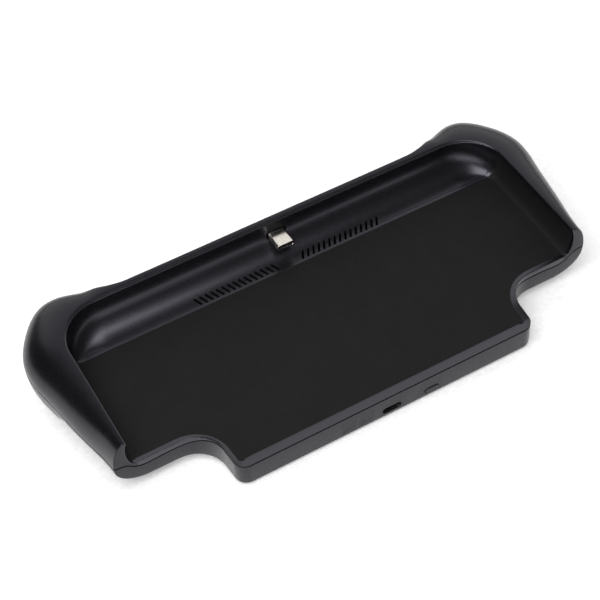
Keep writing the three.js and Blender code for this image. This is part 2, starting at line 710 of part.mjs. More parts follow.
// Lean the tray back, stand it on z = 0 and centre it over the origin.
assembly.rotation.x = LEAN;
assembly.updateMatrixWorld(true);
const bounds = new THREE.Box3().setFromObject(assembly, true);
const middle = bounds.getCenter(new THREE.Vector3());
assembly.position.set(-middle.x, -middle.y, -bounds.min.z);

const root = new THREE.Group();
root.add(assembly);

export default root;
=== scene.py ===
"""Visual model of a battery grip for a flat handheld console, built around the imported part.

Shapes are worked out in the tray's own frame, in millimetres: x along the tray, y from the open near edge
to the far wall, z up from the tray floor. TO_PART then places them in the part's frame, in metres.
"""

import json
import math
from collections import namedtuple
from types import SimpleNamespace as Sizes

import bmesh
import bpy
import numpy as np
from mathutils import Matrix, Quaternion, Vector
from mathutils.geometry import delaunay_2d_cdt


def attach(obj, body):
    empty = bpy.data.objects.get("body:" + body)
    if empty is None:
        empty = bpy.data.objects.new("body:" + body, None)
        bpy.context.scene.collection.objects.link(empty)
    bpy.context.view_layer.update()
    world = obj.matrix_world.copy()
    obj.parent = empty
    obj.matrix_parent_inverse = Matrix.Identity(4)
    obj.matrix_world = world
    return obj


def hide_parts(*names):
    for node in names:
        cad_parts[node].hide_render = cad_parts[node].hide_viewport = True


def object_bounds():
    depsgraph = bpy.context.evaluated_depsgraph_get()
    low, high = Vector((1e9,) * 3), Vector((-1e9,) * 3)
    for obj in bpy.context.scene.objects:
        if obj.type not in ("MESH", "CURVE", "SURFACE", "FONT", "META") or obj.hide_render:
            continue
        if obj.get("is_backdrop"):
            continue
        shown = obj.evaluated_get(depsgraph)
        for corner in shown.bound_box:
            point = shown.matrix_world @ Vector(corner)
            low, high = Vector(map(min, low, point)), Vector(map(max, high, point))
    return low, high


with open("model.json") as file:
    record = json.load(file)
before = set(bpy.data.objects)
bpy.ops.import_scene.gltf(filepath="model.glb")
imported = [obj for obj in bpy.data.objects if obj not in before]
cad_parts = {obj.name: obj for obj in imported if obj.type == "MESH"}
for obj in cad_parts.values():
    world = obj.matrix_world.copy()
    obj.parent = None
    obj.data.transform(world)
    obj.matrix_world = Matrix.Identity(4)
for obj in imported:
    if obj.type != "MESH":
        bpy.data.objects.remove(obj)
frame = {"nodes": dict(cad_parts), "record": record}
cad_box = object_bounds()

# ---- Driving dimensions, in millimetres ----

Arc = namedtuple("Arc", "x y radius")
Curve = namedtuple("Curve", "reach height")
Lip = namedtuple("Lip", "width height")

HALF_LENGTH = 104.5  # centre to the end wall's rim edge
FAR_Y = 45.5  # the far wall's rim edge
RIM_Z = 15.6
CORNER_RADIUS = 19.5
CORNER_X = HALF_LENGTH - CORNER_RADIUS
CORNER_Y = FAR_Y - CORNER_RADIUS
EAR_Y = -25.5  # fronts of the ears, where the grips end
NEAR_Y = -50.2
CUT_OUT = Arc(84.0, -39.5, 14.0)  # clears a shoulder button
TONGUE_CORNER = Arc(64.2, -44.8, 5.4)
BACK_Z = -12.0
WALL = 2.0
FLOOR = 1.3
THIN_WALL = 0.3  # thickness of the lower shell beside the gap, under the lip
THIN_COVER = 0.34  # thickness of the upper shell there
THIN_FADE = 6  # distance in from a cut-out's middle over which the shells thin
THIN_END_Z = -FLOOR - 0.2  # the lower shell is full again below this

# Inside of the tray
END_CURVE = Curve(3.0, 9)  # from the floor up an end wall
FAR_CURVE = Curve(14.5, 13)  # the same, up the far wall
END_FLOOR_X = HALF_LENGTH - END_CURVE.reach
END_RECESS = 1.1  # how far an end wall stands back under its rim
END_RISE = 5.9  # height of an end wall above its curve
FAR_RISE = 1.55
RIM_ROUND = 0.65
MATTE_Y = 31.0  # the textured floor ends here
SEAMS = [(MATTE_Y, 0.22), (MATTE_Y + 1.5, 0.14)]  # y and rise of the fine steps where the texture ends
SEAM_WIDTH = 0.13

# The far wall's rim is finely stepped: (out, z) from the wall to the top
RIM_STEP = [
    (0, 14.8), (0.05, 14.93), (0.15, 15.02), (0.3, 15.06), (0.9, 15.1),
    (0.98, 15.14), (1.0, 15.3), (1.05, 15.45), (1.15, 15.56), (1.3, 15.6),
]

# Near edge
EAR_LIP = Lip(2.2, 0.6)
TONGUE_LIP = Lip(4.6, 1.25)
CORNER_LIP_WIDTH = 2.3  # where a cut-out meets the tongue's corner
LIP_SHARES = [0.2, 0.35, 0.5, 0.65, 0.8, 1.0, 1.03]  # rows of points across the lip, as shares of its width
LIP_POWER = 1.15  # makes the lip slightly hollow
EAR_ROUND = 0.3  # radius of the tray's front edge
TONGUE_ROUND = 0.08

# Gap between the shells: its height along an ear's front, by x, and elsewhere
EAR_PARTING = [
    (80, -2.5), (84, -2.5), (91, -2.5), (98.7, -2.9), (102.8, -1.6), (106, 1.0), (111.3, 2.1), (116, 2.2),
]
NEAR_PARTING = 0.75
EAR_SIDE_PARTING = 2.2
GRIP_PARTING = 0.7
FAR_PARTING = 13.7
GROOVE = 0.19  # half of the gap

# How far the outside stands out from the rim, by distance along the rim from the ear
BULGE = [
    (-40, 7.0), (0, 7.0), (25, 11.8), (51.5, 16.8), (58.3, 19.4), (65.1, 20.7), (71.9, 22.1),
    (75.3, 20.3), (78.7, 16.3), (82.1, 12.7), (86, 9.4), (90, 6.7), (95, 5), (100, 4.6), (170, 4.6),
]

# Outside: each fade is the distance where a change starts and the distance that it takes
EQUATOR_Z = 1.5
KEEL_IN = 7.5  # the grips' lowest line, in from the rim
KEEL_X = HALF_LENGTH - KEEL_IN
KEEL_SHIFT = 9.1  # how far that line moves out at the far wall
KEEL_FADE = (76, 20)
ROUND_POWER = 2  # an ellipse, on the grips
BOXY_POWER = 5  # what the far wall adds to that
BOXY_FADE = (80, 15)
FULLER = 0.6  # what the grips' fullest part adds
FULLER_FADE = (38, 7)
SLIMMER_FADE = (70, 12)
EAR_SIDE_FADE = (0, 20)
FAR_PARTING_FADE = (81, 12)
GRIP_SIDE_FADE = (72, 24)  # by x, from the flat back to a grip's lowest line
GRIP_DEPTH_FADE = (-22, 42)  # by y
SIDE_ROUND = 0.45  # radius of an ear's front edge, at the side
BACK_ROUND = 2.4  # radius of the back's front edge
INNER_BACK_ROUND = 1.0
ROUND_FADE = (0.1, 0.8)  # between the two, by share of the way from the gap to the back
LATTICE_X = (69.3, 107, 2.1)  # start, end and step of the points on the grips' undersides
LATTICE_Y = (-23, 46, 2.3)
LATTICE_LIMIT = Sizes(x_scale=0.985, y_scale=0.97, y_shift=0.3)  # keeps them clear of the outline

# Upper shell's hidden side, roughly even in thickness
HIDDEN = Sizes(start=5.2, shelf=1.9, slimmer=3.7, slimmest=0.4, low_turn=4, high_turn=82, rise=11.7, wall=1.8)

# Density of the swept meshes, in points
BESIDE = 0.05  # distance of an extra row beside a small rounding
APART = 0.02  # least distance between the rows over the rim
FILLET = [90, 72, 54, 36, 18, 0]
CURVE_ROWS = 26
STRAIGHT_ROWS = 8
RIM_ROWS = 27
KEEL_ROWS = 37
MATTE_ROWS = 29  # rows of the sweep, from the floor up, that take the floor's texture
SATIN, MATTE, COVE = 0, 1, 2

PORT = Sizes(
    x=0.0, z=-7.1, width=8.8, height=3.1, recess=0.4, wall=0.31, mouth_wall=0.25, edge=0.14, back_y=-42.1,
)
PORT_ROOT = [  # the port's tongue from its root to its blade: (y, width, height)
    (-42.4, 8.06, 2.36), (-43.9, 8.06, 2.36), (-44.0, 7.86, 2.16), (-44.0, 7.0, 0.95), (-44.9, 6.9, 0.9),
    (-45.0, 6.66, 0.7),
]
BLADE = Sizes(width=6.66, height=0.7, edge=0.18, setback=0.75)
PLATE = Sizes(width=6.3, height=0.2, edge=0.04, setback=0.66, length=0.54)  # shows at the blade's tip
BUTTON = Sizes(x=19.0, z=-7.3, width=6.4, height=2.5, proud=0.22, edge=0.3)
FOOT = Sizes(width=8.0, height=3.1, back_y=-47.5, front_y=-48.05)
SWELL = [(0.05, 0.7), (0.065, 1.0)]  # how far the button's face swells, and how far in from its edge
LIGHTS = Sizes(x=-16.4, z=-7.5, pitch=4.1, count=4, radius=0.6, clearance=0.08, back_y=-46.85)
DOME = Sizes(y=NEAR_Y + 0.12, height=0.13)
PLUG = Sizes(z=8.9, width=8.25, height=2.4, wall=0.2, mouth_wall=0.13, edge=0.12, tip_y=36.0, root_y=45.5)
PLUG_END_Y = PLUG.root_y + 0.5
CORE = Sizes(
    width=PLUG.width - 2 * PLUG.wall - 0.06, height=PLUG.height - 2 * PLUG.wall - 0.06, edge=0.08,
    front_y=PLUG.tip_y + 0.5, back_y=PLUG.root_y + 0.4,
)
MOUTH = Sizes(width=CORE.width - 0.9, height=0.92, flare=0.1, flare_depth=0.12, back_y=PLUG.root_y - 1.0)
BLOCK = Sizes(width=7.2, height=1.1, drop=0.4, front_y=PLUG.tip_y + 0.06)  # in the plug's mouth
MARKS = Sizes(count=4, reach=2.7, width=0.65, length=0.4, height=0.05, rise=0.14, y=PLUG.tip_y + 0.3)
CONTACTS = Sizes(count=12, reach=2.75)  # on each side of the plug and of the port
BOSS = Sizes(width=9.4, height=3.3, edge=0.3, front_y=45.6, back_y=47.0)
BOSS_BORE = [(45.6, 0.25), (45.8, 0.15), (46.05, 0.15), (46.05, 0.03), (47.0, 0.03)]  # y, gap round the plug
WINDOW_Y = (30, 47.2)  # the cut through the far wall for the boss
WINDOW_CLEARANCE = 0.2
VENT = Sizes(count=15, first_x=6.9, pitch=2.66, y=34.1, length=4.4, width=0.95, slant=28.0)
SCREWS = [(60, -42), (84, -13), (64, 39)]
SCREW = Sizes(head=2.07, head_z=-11.2, crown=0.28, shank=1.2, core=0.78, pitch=0.5, end_z=-3.2, turn=37)
RECESS = [(SCREW.head_z - 0.5, 1.35, 0.3), (SCREW.head_z + 0.48, 0.75, 0.16)]  # z, half length, half width
SINK = Sizes(radius=2.5, chamfer=0.25, top_z=-10.6, hole_radius=1.3, hole_top_z=-8)
BELOW_Z = -16  # clear of everything, under the part

seat = next(m for m in frame["record"]["mounts"] if m["name"] == "console_seat")
LEAN = math.atan2(-seat["axis"][1], seat["axis"][2])
SEAT_Y = -8.0  # the seat mount's place on the tray floor
TO_PART = (
    Matrix.Translation(Vector(seat["pos_m"]))
    @ Matrix.Rotation(LEAN, 4, "X")
    @ Matrix.Scale(0.001, 4)
    @ Matrix.Translation((0, -SEAT_Y, 0))
)


# ---- Small helpers ----

def smooth(t):
    t = min(max(t, 0.0), 1.0)
    return t * t * (3 - 2 * t)


def fade(position, start, length):
    """0 up to start and 1 beyond start + length, with a smooth change between."""
    return smooth((position - start) / length)


def lerp(a, b, t):
    return a + (b - a) * t


def blend(a, b, t):
    """A point between two points of a plane."""
    return (lerp(a[0], b[0], t), lerp(a[1], b[1], t))


def spread(a, b, count):
    """count values from a to b, both included."""
    return [lerp(a, b, i / (count - 1)) for i in range(count)]


def cos_sin(degrees):
    angle = math.radians(degrees)
    return math.cos(angle), math.sin(angle)


def through(table, position):
    """Smooth curve through a table of (position, value) rows."""
    k = 0
    while k < len(table) - 2 and table[k + 1][0] < position:
        k += 1

    def slope(i):
        before, after = table[max(i - 1, 0)], table[min(i + 1, len(table) - 1)]
        return (after[1] - before[1]) / (after[0] - before[0])

    (p0, v0), (p1, v1) = table[k], table[k + 1]
    span = p1 - p0
    t = (position - p0) / span
    rise = v0 * (2 * t**3 - 3 * t**2 + 1) + v1 * (3 * t**2 - 2 * t**3)
    return rise + span * (slope(k) * (t**3 - 2 * t**2 + t) + slope(k + 1) * (t**3 - t**2))


def pill(width, height, arc=10):
    """Outline of a slot with round ends, centred on the origin, counter-clockwise."""
    radius = height / 2
    reach = width / 2 - radius
    points = []
    for side, start in ((1, -90), (-1, 90)):
        for i in range(arc + 1):
            cos, sin = cos_sin(start + 180 * i / arc)
            points.append((side * reach + radius * cos, radius * sin))
    return points


def inside(points, loops):
    """Even-odd test of many points against loops, all in the plane."""
    x, y = points[:, 0], points[:, 1]
    odd = np.zeros(len(points), bool)
    for loop in loops:
        a = np.array(loop)
        b = np.roll(a, -1, axis=0)
        for (x0, y0), (x1, y1) in zip(a, b):
            if y0 != y1:
                odd ^= ((y0 > y) != (y1 > y)) & (x < (x1 - x0) * (y - y0) / (y1 - y0) + x0)
    return odd


def mirror_row(row):
    """The same points, or level directions, on the left."""
    return [(-x, y, z) for x, y, z in row]


def plan(point):
    return (point[0], point[1])


def upright(point):
    return (point[0], point[2])


# ---- A mesh under construction ----

SMALLEST_AREA = 1e-4  # triangles below this, in square millimetres, are left out of a fill


class Shape:
    """Collects points and faces in the tray's frame, then makes one object of them."""

    def __init__(self):
        self.points, self.faces, self.slots = [], [], []

    def add_points(self, points):
        start = len(self.points)
        self.points.extend(tuple(p) for p in points)
        return list(range(start, start + len(points)))

    def add_face(self, points, slot=0):
        self.faces.append(tuple(self.add_points(points)))
        self.slots.append(slot)

    def grid(self, columns, slot=0, closed=False):
        """Quads between columns of points. slot is a number, or a function of the row's number."""
        rows = len(columns[0])
        ids = [self.add_points(c) for c in columns]
        pairs = list(zip(ids, ids[1:])) + ([(ids[-1], ids[0])] if closed else [])
        for a, b in pairs:
            for r in range(rows - 1):
                self.faces.append((a[r], b[r], b[r + 1], a[r + 1]))
                self.slots.append(slot(r) if callable(slot) else slot)

    def fill(self, loops, flat, interior=(), lift=None, slot=0):
        """Triangles over the area between loops of 3-D points. flat gives a point's place in the plane.
        The interior holds flat points, which lift turns into 3-D points."""
        points = [p for loop in loops for p in loop] + [lift(q) for q in interior]
        plane = [Vector(flat(p)) for p in points]
        edges, start = [], 0
        for loop in loops:
            count = len(loop)
            edges += [(start + i, start + (i + 1) % count) for i in range(count)]
            start += count
        out = delaunay_2d_cdt(plane, edges, [], 0, 1e-5, True)
        ids = [self.add_points([points[origin[0]]])[0] for origin in out[3]]
        corners = np.array([[tuple(out[0][i]) for i in face] for face in out[2]])
        sides = corners[:, 1:] - corners[:, :1]
        area = abs(sides[:, 0, 0] * sides[:, 1, 1] - sides[:, 0, 1] * sides[:, 1, 0])
        flat_loops = [[flat(p) for p in loop] for loop in loops]
        keep = inside(corners.mean(axis=1), flat_loops) & (area > SMALLEST_AREA)
        for face, kept in zip(out[2], keep):
            if kept:
                self.faces.append(tuple(ids[i] for i in face))
                self.slots.append(slot)

    def fill_ears(self, loop):
        """Fills the front of the right ear, and its mirror image on the left one."""
        self.fill([loop], upright)
        self.fill([mirror_row(loop)], upright)

    def make(self, name, materials=()):
        mesh = bpy.data.meshes.new(name)
        mesh.from_pydata(self.points, [], self.faces)
        for polygon, slot in zip(mesh.polygons, self.slots):
            polygon.material_index = slot
        built = bmesh.new()
        built.from_mesh(mesh)
        bmesh.ops.remove_doubles(built, verts=built.verts, dist=0.002)
        bmesh.ops.dissolve_degenerate(built, dist=0.0005, edges=built.edges)
        bmesh.ops.recalc_face_normals(built, faces=built.faces)
        built.to_mesh(mesh)
        built.free()
        for material in materials:
            mesh.materials.append(material)
        obj = show(name, mesh)
        soften(obj)
        return obj


def show(name, data):
    """A new object in the scene."""
    obj = bpy.data.objects.new(name, data)
    bpy.context.scene.collection.objects.link(obj)
    return obj


def soften(obj):
    """Smooth shading, with edges sharper than 32 degrees kept crisp."""
    obj.data.shade_smooth()
    obj.data.set_sharp_from_angle(angle=math.radians(32))


def cut(obj, cutters):
    """Takes the cutters away from obj and deletes them."""
    for cutter in cutters:
        modifier = obj.modifiers.new("cut", "BOOLEAN")
        modifier.operation = "DIFFERENCE"
        modifier.solver = "EXACT"
        modifier.object = cutter
    with bpy.context.temp_override(object=obj, active_object=obj, selected_objects=[obj]):
        for modifier in list(obj.modifiers):
            bpy.ops.object.modifier_apply(modifier=modifier.name)
    for cutter in cutters:
        bpy.data.objects.remove(cutter)
    soften(obj)


# ---- The rim line ----

Station = namedtuple("Station", "x y nx ny s turn")


def mirror(places):
    """The same places on the left, in the order that goes on from the right."""
    return [p._replace(x=-p.x, nx=-p.nx) for p in reversed(places)]


def rim_stations(start_ys):
    """Places along the rim, counter-clockwise from the right ear to the left one. Each has its direction
    out in plan, its distance s along the rim and its turn: 0 on an end wall and 1 on the far wall."""
    straight = CORNER_Y - EAR_Y
    ys = list(start_ys) + [y for y in spread(-18, CORNER_Y, 18) if y > start_ys[-1] + 0.5]
    right = [Station(HALF_LENGTH, y, 1, 0, y - EAR_Y, 0) for y in ys]
    for angle in range(3, 90, 3):
        nx, ny = cos_sin(angle)
        x, y = CORNER_X + CORNER_RADIUS * nx, CORNER_Y + CORNER_RADIUS * ny
        right.append(Station(x, y, nx, ny, straight + CORNER_RADIUS * math.radians(angle), angle / 90))
    corner_end = straight + CORNER_RADIUS * math.pi / 2
    for x in spread(CORNER_X, 61, 25) + spread(56, 8, 9) + [0]:
        right.append(Station(x, FAR_Y, 0, 1, corner_end + CORNER_X - x, 1))
    return right + mirror(right[:-1])


def at(p, out, z):
    """The point at a distance out from a station."""
    return (p.x + p.nx * out, p.y + p.ny * out, z)


def boxiness(p):
    """Power of the outside's rounded section: round on the grips, nearly square on the far wall."""
    return ROUND_POWER + BOXY_POWER * fade(p.s, *BOXY_FADE)


def grip_depth(x, y):
    """Depth of a grip's underside below the flat back. It reaches the surface that the grip stands on."""
    to_table = (y - NEAR_Y - BACK_ROUND) * math.tan(LEAN)
    return to_table * fade(y, *GRIP_DEPTH_FADE) * fade(abs(x), *GRIP_SIDE_FADE)


def skin(p, turn, inset=0.0):
    """A point (out, z) of the outside: turn is 90 at the rim, 0 where it is widest, -90 at the keel."""
    boxy = boxiness(p)
    cos, sin = cos_sin(turn)
    sin = abs(sin)
    wide = through(BULGE, p.s) - inset
    if turn >= 0:
        return 1 + (wide - 1) * cos ** (2 / boxy), EQUATOR_Z + (RIM_Z - EQUATOR_Z) * sin ** (2 / boxy)
    full = boxy + FULLER * fade(p.s, *FULLER_FADE) * (1 - fade(p.s, *SLIMMER_FADE))
    keel = -KEEL_IN + KEEL_SHIFT * fade(p.s, *KEEL_FADE)
    x, y, _ = at(p, keel, 0)
    keel_z = BACK_Z - grip_depth(x, y) + inset
    return keel + (wide - keel) * cos ** (2 / full), EQUATOR_Z + (keel_z - EQUATOR_Z) * sin ** (2 / full)


def turn_at(p, z):
    """The turn at which the outside passes a height."""
    low, high = -90.0, 90.0
    for _ in range(50):
        middle = (low + high) / 2
        if skin(p, middle)[1] < z:
            low = middle
        else:
            high = middle
    return (low + high) / 2


def parting_z(p):
    """Height of the gap between the shells: near the widest line on the grips, high on the far wall."""
    grips = lerp(EAR_SIDE_PARTING, GRIP_PARTING, fade(p.s, *EAR_SIDE_FADE))
    return lerp(grips, FAR_PARTING, fade(p.s, *FAR_PARTING_FADE))


# ---- The near edge ----

Edge = namedtuple("Edge", "x y nx ny lip tall round part")


def ear_parting(x):
    """Height of the gap between the shells along an ear's front."""
    return through(EAR_PARTING, x)


def ear_line(start_x, end_x, y, rise):
    """Points along that gap on the right ear, between its two ends."""
    return [(x, y, ear_parting(x) + rise) for x in spread(start_x, end_x, 14)[1:-1]]


def near_edge(start_x):
    """Places along the near edge from the right ear to the left one. Each has its direction out in plan,
    the lip's width and height, the radius of its outer edge and the height of the gap between the shells."""
    right = []
    for x in spread(start_x, CUT_OUT.x + 0.5, 9):
        right.append(Edge(x, EAR_Y, 0, -1, *EAR_LIP, EAR_ROUND, ear_parting(x)))
    ear_end = ear_parting(CUT_OUT.x)
    for angle in range(90, 181, 5):
        cos, sin = cos_sin(angle)
        x, y = CUT_OUT.x + CUT_OUT.radius * cos, CUT_OUT.y + CUT_OUT.radius * sin
        width = lerp(EAR_LIP.width, CORNER_LIP_WIDTH, fade(angle, 90, 90))
        rise = fade(angle, 90, 75)
        tall = lerp(EAR_LIP.height, TONGUE_LIP.height, rise)
        rounding = lerp(EAR_ROUND, TONGUE_ROUND, rise)
        right.append(Edge(x, y, -cos, -sin, width, tall, rounding, lerp(ear_end, NEAR_PARTING, rise)))
    for angle in range(0, 91, 5):
        cos, sin = cos_sin(angle)
        x, y = TONGUE_CORNER.x + TONGUE_CORNER.radius * cos, TONGUE_CORNER.y - TONGUE_CORNER.radius * sin
        width = lerp(CORNER_LIP_WIDTH, TONGUE_LIP.width, fade(angle, 0, 90))
        right.append(Edge(x, y, cos, -sin, width, TONGUE_LIP.height, TONGUE_ROUND, NEAR_PARTING))
    for x in spread(56, 8, 7) + [0]:
        right.append(Edge(x, NEAR_Y, 0, -1, *TONGUE_LIP, TONGUE_ROUND, NEAR_PARTING))
    return right + mirror(right[:-1])


def behind(e, distance, z):
    """The point at a distance in from the near edge."""
    return (e.x - e.nx * distance, e.y - e.ny * distance, z)


def thinned(e, full, thin):
    """Thickness of a shell beside the gap: full on the ears, thin where the lip leaves less room."""
    return lerp(full, thin, fade(CUT_OUT.x - abs(e.x), 0, THIN_FADE))


def lip_rise(share, tall):
    """Height of the lip above the floor: share is 0 at the edge and 1 where it meets the floor."""
    return tall * (1 - min(max(share, 0.0), 1.0)) ** LIP_POWER


# ---- Loops and roundings that both shells share ----

FILLET_DIRECTIONS = [(cos, -sin, 0) for cos, sin in map(cos_sin, FILLET)]


def normals(points):
    """Directions square to a line of (out, z) points, on its left."""
    line = np.array(points)
    slope = np.gradient(line, axis=0)
    slope /= np.linalg.norm(slope, axis=1)[:, None]
    return [(-dz, do) for do, dz in slope]


def rounded_columns(p, front_y, profile, radii, first_normal, last_normal=None):
    """The columns that round an ear's front edge off, from the plane of its front back into the sweep."""
    square = normals(profile)
    square[0] = first_normal
    square[-1] = last_normal or square[-1]
    columns = []
    for cos, sin in map(cos_sin, FILLET):
        columns.append([
            at(p._replace(y=front_y + r * (1 - sin)), o - no * r * (1 - cos), z - nz * r * (1 - cos))
            for (o, z), (no, nz), r in zip(profile, square, radii)
        ])
    return columns


def round_trip(sweep, edge, right_ear):
    """One loop round the part out of the sweep's row, the near edge's row and the two ears' lines."""
    return sweep + mirror_row(reversed(right_ear)) + list(reversed(edge)) + right_ear


def trip_directions(rounding, stations, near, right_ear):
    """The level direction out at each point of such a loop. rounding holds those of an ear's front edge."""
    sweep = rounding + [(p.nx, p.ny, 0) for p in stations] + mirror_row(reversed(rounding))
    return round_trip(sweep, [(e.nx, e.ny, 0) for e in near], [(0, -1, 0)] * len(right_ear))


def offset_loop(loop, directions, distance, dz):
    """The loop moved in by a distance and up by dz."""
    pairs = zip(loop, directions)
    return [(x - nx * distance, y - ny * distance, z + dz) for (x, y, z), (nx, ny, _) in pairs]


# ---- Upper shell ----

def tray_wall(p, lip):
    """The inside of the tray at a station, from the floor up to the rim, as (out, z) points."""
    turn = smooth(p.turn)
    points = []
    for cos, sin in map(cos_sin, spread(0, 90, CURVE_ROWS)):
        end = (-END_CURVE.reach + (END_CURVE.reach + END_RECESS) * sin, END_CURVE.height * (1 - cos))
        far = (-FAR_CURVE.reach * (1 - sin), FAR_CURVE.height * (1 - cos))
        points.append(blend(end, far, turn))
    for u in spread(0, 1, STRAIGHT_ROWS)[1:]:
        end = (END_RECESS - END_RECESS * u * u, END_CURVE.height + END_RISE * u)
        far = (0, FAR_CURVE.height + FAR_RISE * u)
        points.append(blend(end, far, turn))
    if lip > 0:
        points = [(o, (z**3 + lip**3) ** (1 / 3)) for o, z in points]
    return points


def rim_edge(p):
    """The rim's inner edge, above the tray's wall: round at the ends and finely stepped on the far wall."""
    turn = smooth(p.turn)
    points = []
    for i, far in enumerate(RIM_STEP):
        cos, sin = cos_sin(90 * (i + 1) / len(RIM_STEP))
        end = (RIM_ROUND * (1 - cos), RIM_Z - RIM_ROUND + RIM_ROUND * sin)
        points.append(blend(end, far, turn))
    return points


def tray_profile(p, lip):
    """The visible outline of the upper shell at a station, as (out, z) points: from the floor over the rim's
    inner edge, and from there down the outside to the gap."""
    inner = tray_wall(p, lip) + rim_edge(p)
    last = inner[-1][0]
    low = turn_at(p, parting_z(p) + 2 * GROOVE)
    outer = [skin(p, turn) for turn in spread(90, low, RIM_ROWS)]
    return inner, [(max(o, last + APART * i), z) for i, (o, z) in enumerate(outer)]


def lip_columns(near):
    """Columns of points from the floor over the lip and its rounded edge down to the gap."""
    columns = []
    for e in near:
        outs = [e.lip * share for share in reversed(LIP_SHARES)] + [e.round + BESIDE]
        column = [behind(e, out, lip_rise(out / e.lip, e.tall)) for out in outs]
        top = lip_rise(e.round / e.lip, e.tall)
        for cos, sin in map(cos_sin, reversed(FILLET)):
            column.append(behind(e, e.round * (1 - sin), top - e.round * (1 - cos)))
        column.append((e.x, e.y, e.part + 2 * GROOVE))
        columns.append(column)
    return columns


def build_tray(materials):
    shape = Shape()
    start_ys = [EAR_Y + EAR_ROUND, EAR_Y + EAR_ROUND + BESIDE]
    start_ys += [EAR_Y + EAR_LIP.width * share for share in LIP_SHARES]
    stations = rim_stations(start_ys)
    first = stations[0]
    inner, outer = tray_profile(first, lip_rise(EAR_ROUND / EAR_LIP.width, EAR_LIP.height))
    profile = inner + outer
    fillet = rounded_columns(first, EAR_Y, profile, [EAR_ROUND] * len(profile), (0, 1))[:-1]
    columns = list(fillet)
    for p in stations:
        lip = lip_rise((p.y - EAR_Y) / EAR_LIP.width, EAR_LIP.height) if p.turn == 0 else 0.0
        inner, outer = tray_profile(p, lip)
        columns.append([at(p, o, z) for o, z in inner + outer])
    columns += map(mirror_row, reversed(fillet))

    def slot(row):
        if row < MATTE_ROWS:
            return MATTE
        return COVE if row < len(inner) - 2 else SATIN

    shape.grid(columns, slot=slot)
    near = near_edge(END_FLOOR_X)
    near_columns = lip_columns(near)
    shape.grid(near_columns, slot=COVE)

    # Floor
    skipped = len(FILLET) + len(LIP_SHARES)
    sweep_floor = [c[0] for c in columns[skipped:-skipped]]
    near_floor = [c[0] for c in reversed(near_columns)]
    shape.fill([sweep_floor + near_floor], plan, slot=MATTE)

    # Fronts of the ears
    right_ear = ear_line(END_FLOOR_X, columns[0][-1][0], EAR_Y, 2 * GROOVE)
    shape.fill_ears(columns[0] + list(reversed(right_ear)) + [near_columns[0][-1]])

    # The gap's upper side, then the hidden inside of the shell
    loop = round_trip([c[-1] for c in columns], [c[-1] for c in near_columns], right_ear)
    directions = trip_directions(FILLET_DIRECTIONS[:-1], stations, near, right_ear)
    lower = offset_loop(loop, directions, GROOVE, -GROOVE)
    shape.grid(list(zip(loop, lower)), closed=True)
    hidden = hide_tray(shape, near)
    shape.fill([lower, hidden], plan)
    return shape.make("tray_cover", materials)


def hide_tray(shape, near):
    """The side of the upper shell that faces the cells. Returns its loop beside the gap."""
    columns = []
    for p in rim_stations([EAR_Y + WALL, EAR_Y + HIDDEN.start]):
        low = turn_at(p, parting_z(p) + GROOVE)
        column = [at(p, skin(p, low)[0] - HIDDEN.shelf, parting_z(p) + GROOVE)]
        wide = max(through(BULGE, p.s) - HIDDEN.slimmer, HIDDEN.slimmest)
        power = 2 / boxiness(p)
        for cos, sin in map(cos_sin, spread(max(low, HIDDEN.low_turn), HIDDEN.high_turn, 7)):
            column.append(at(p, WALL + wide * cos**power, EQUATOR_Z + HIDDEN.rise * sin**power))
        reach = lerp(END_CURVE.reach, FAR_CURVE.reach, smooth(p.turn))
        tall = lerp(END_CURVE.height, FAR_CURVE.height, smooth(p.turn))
        for cos, sin in map(cos_sin, spread(90, 0, 9)):
            column.append(at(p, -reach + (reach + HIDDEN.wall) * sin, tall * (1 - cos) - FLOOR * cos))
        columns.append(column)
    shape.grid(columns)
    near_columns = []
    for e in near:
        thickness = thinned(e, WALL, THIN_COVER)
        near_columns.append([behind(e, thickness, e.part + GROOVE), behind(e, thickness, -FLOOR)])
    shape.grid(near_columns)
    shape.fill([[c[-1] for c in columns] + [c[-1] for c in reversed(near_columns)]], plan)
    right_ear = ear_line(END_FLOOR_X, columns[0][0][0], EAR_Y + WALL, GROOVE)
    shape.fill_ears(columns[0] + [near_columns[0][0]] + right_ear)
    return round_trip([c[0] for c in columns], [c[0] for c in near_columns], right_ear)


# ---- Lower shell ----

def wall_columns(near, inset, bottom_round, drop):
    """Columns of points from drop below the gap, down the near wall and round on to the back. On the inner
    side, inset from the outer one, the wall's thin part comes first."""
    columns = []
    for e in near:
        top_z = e.part - drop
        column = [(e.x, e.y, top_z)]
        if inset:
            out = thinned(e, inset, THIN_WALL) - inset
            step_z = min(THIN_END_Z, top_z)
            column = [behind(e, out, top_z), behind(e, out, step_z), (e.x, e.y, step_z)]
        for cos, sin in map(cos_sin, FILLET):
            z = BACK_Z + inset + bottom_round * (1 - cos)
            column.append(behind(e, bottom_round * (1 - sin), z))
        columns.append(column)
    return columns


def lattice_inside(outline):
    """Places in plan, well inside the outline, that give the grips' undersides their shape."""
    lattice = np.array([
        (side * x, y) for side in (1, -1) for x in np.arange(*LATTICE_X) for y in np.arange(*LATTICE_Y)
    ])
    limit = LATTICE_LIMIT
    shrunk = [(x * limit.x_scale, y * limit.y_scale + limit.y_shift) for x, y, _ in outline]
    return [tuple(q) for q in lattice[inside(lattice, [shrunk])]]


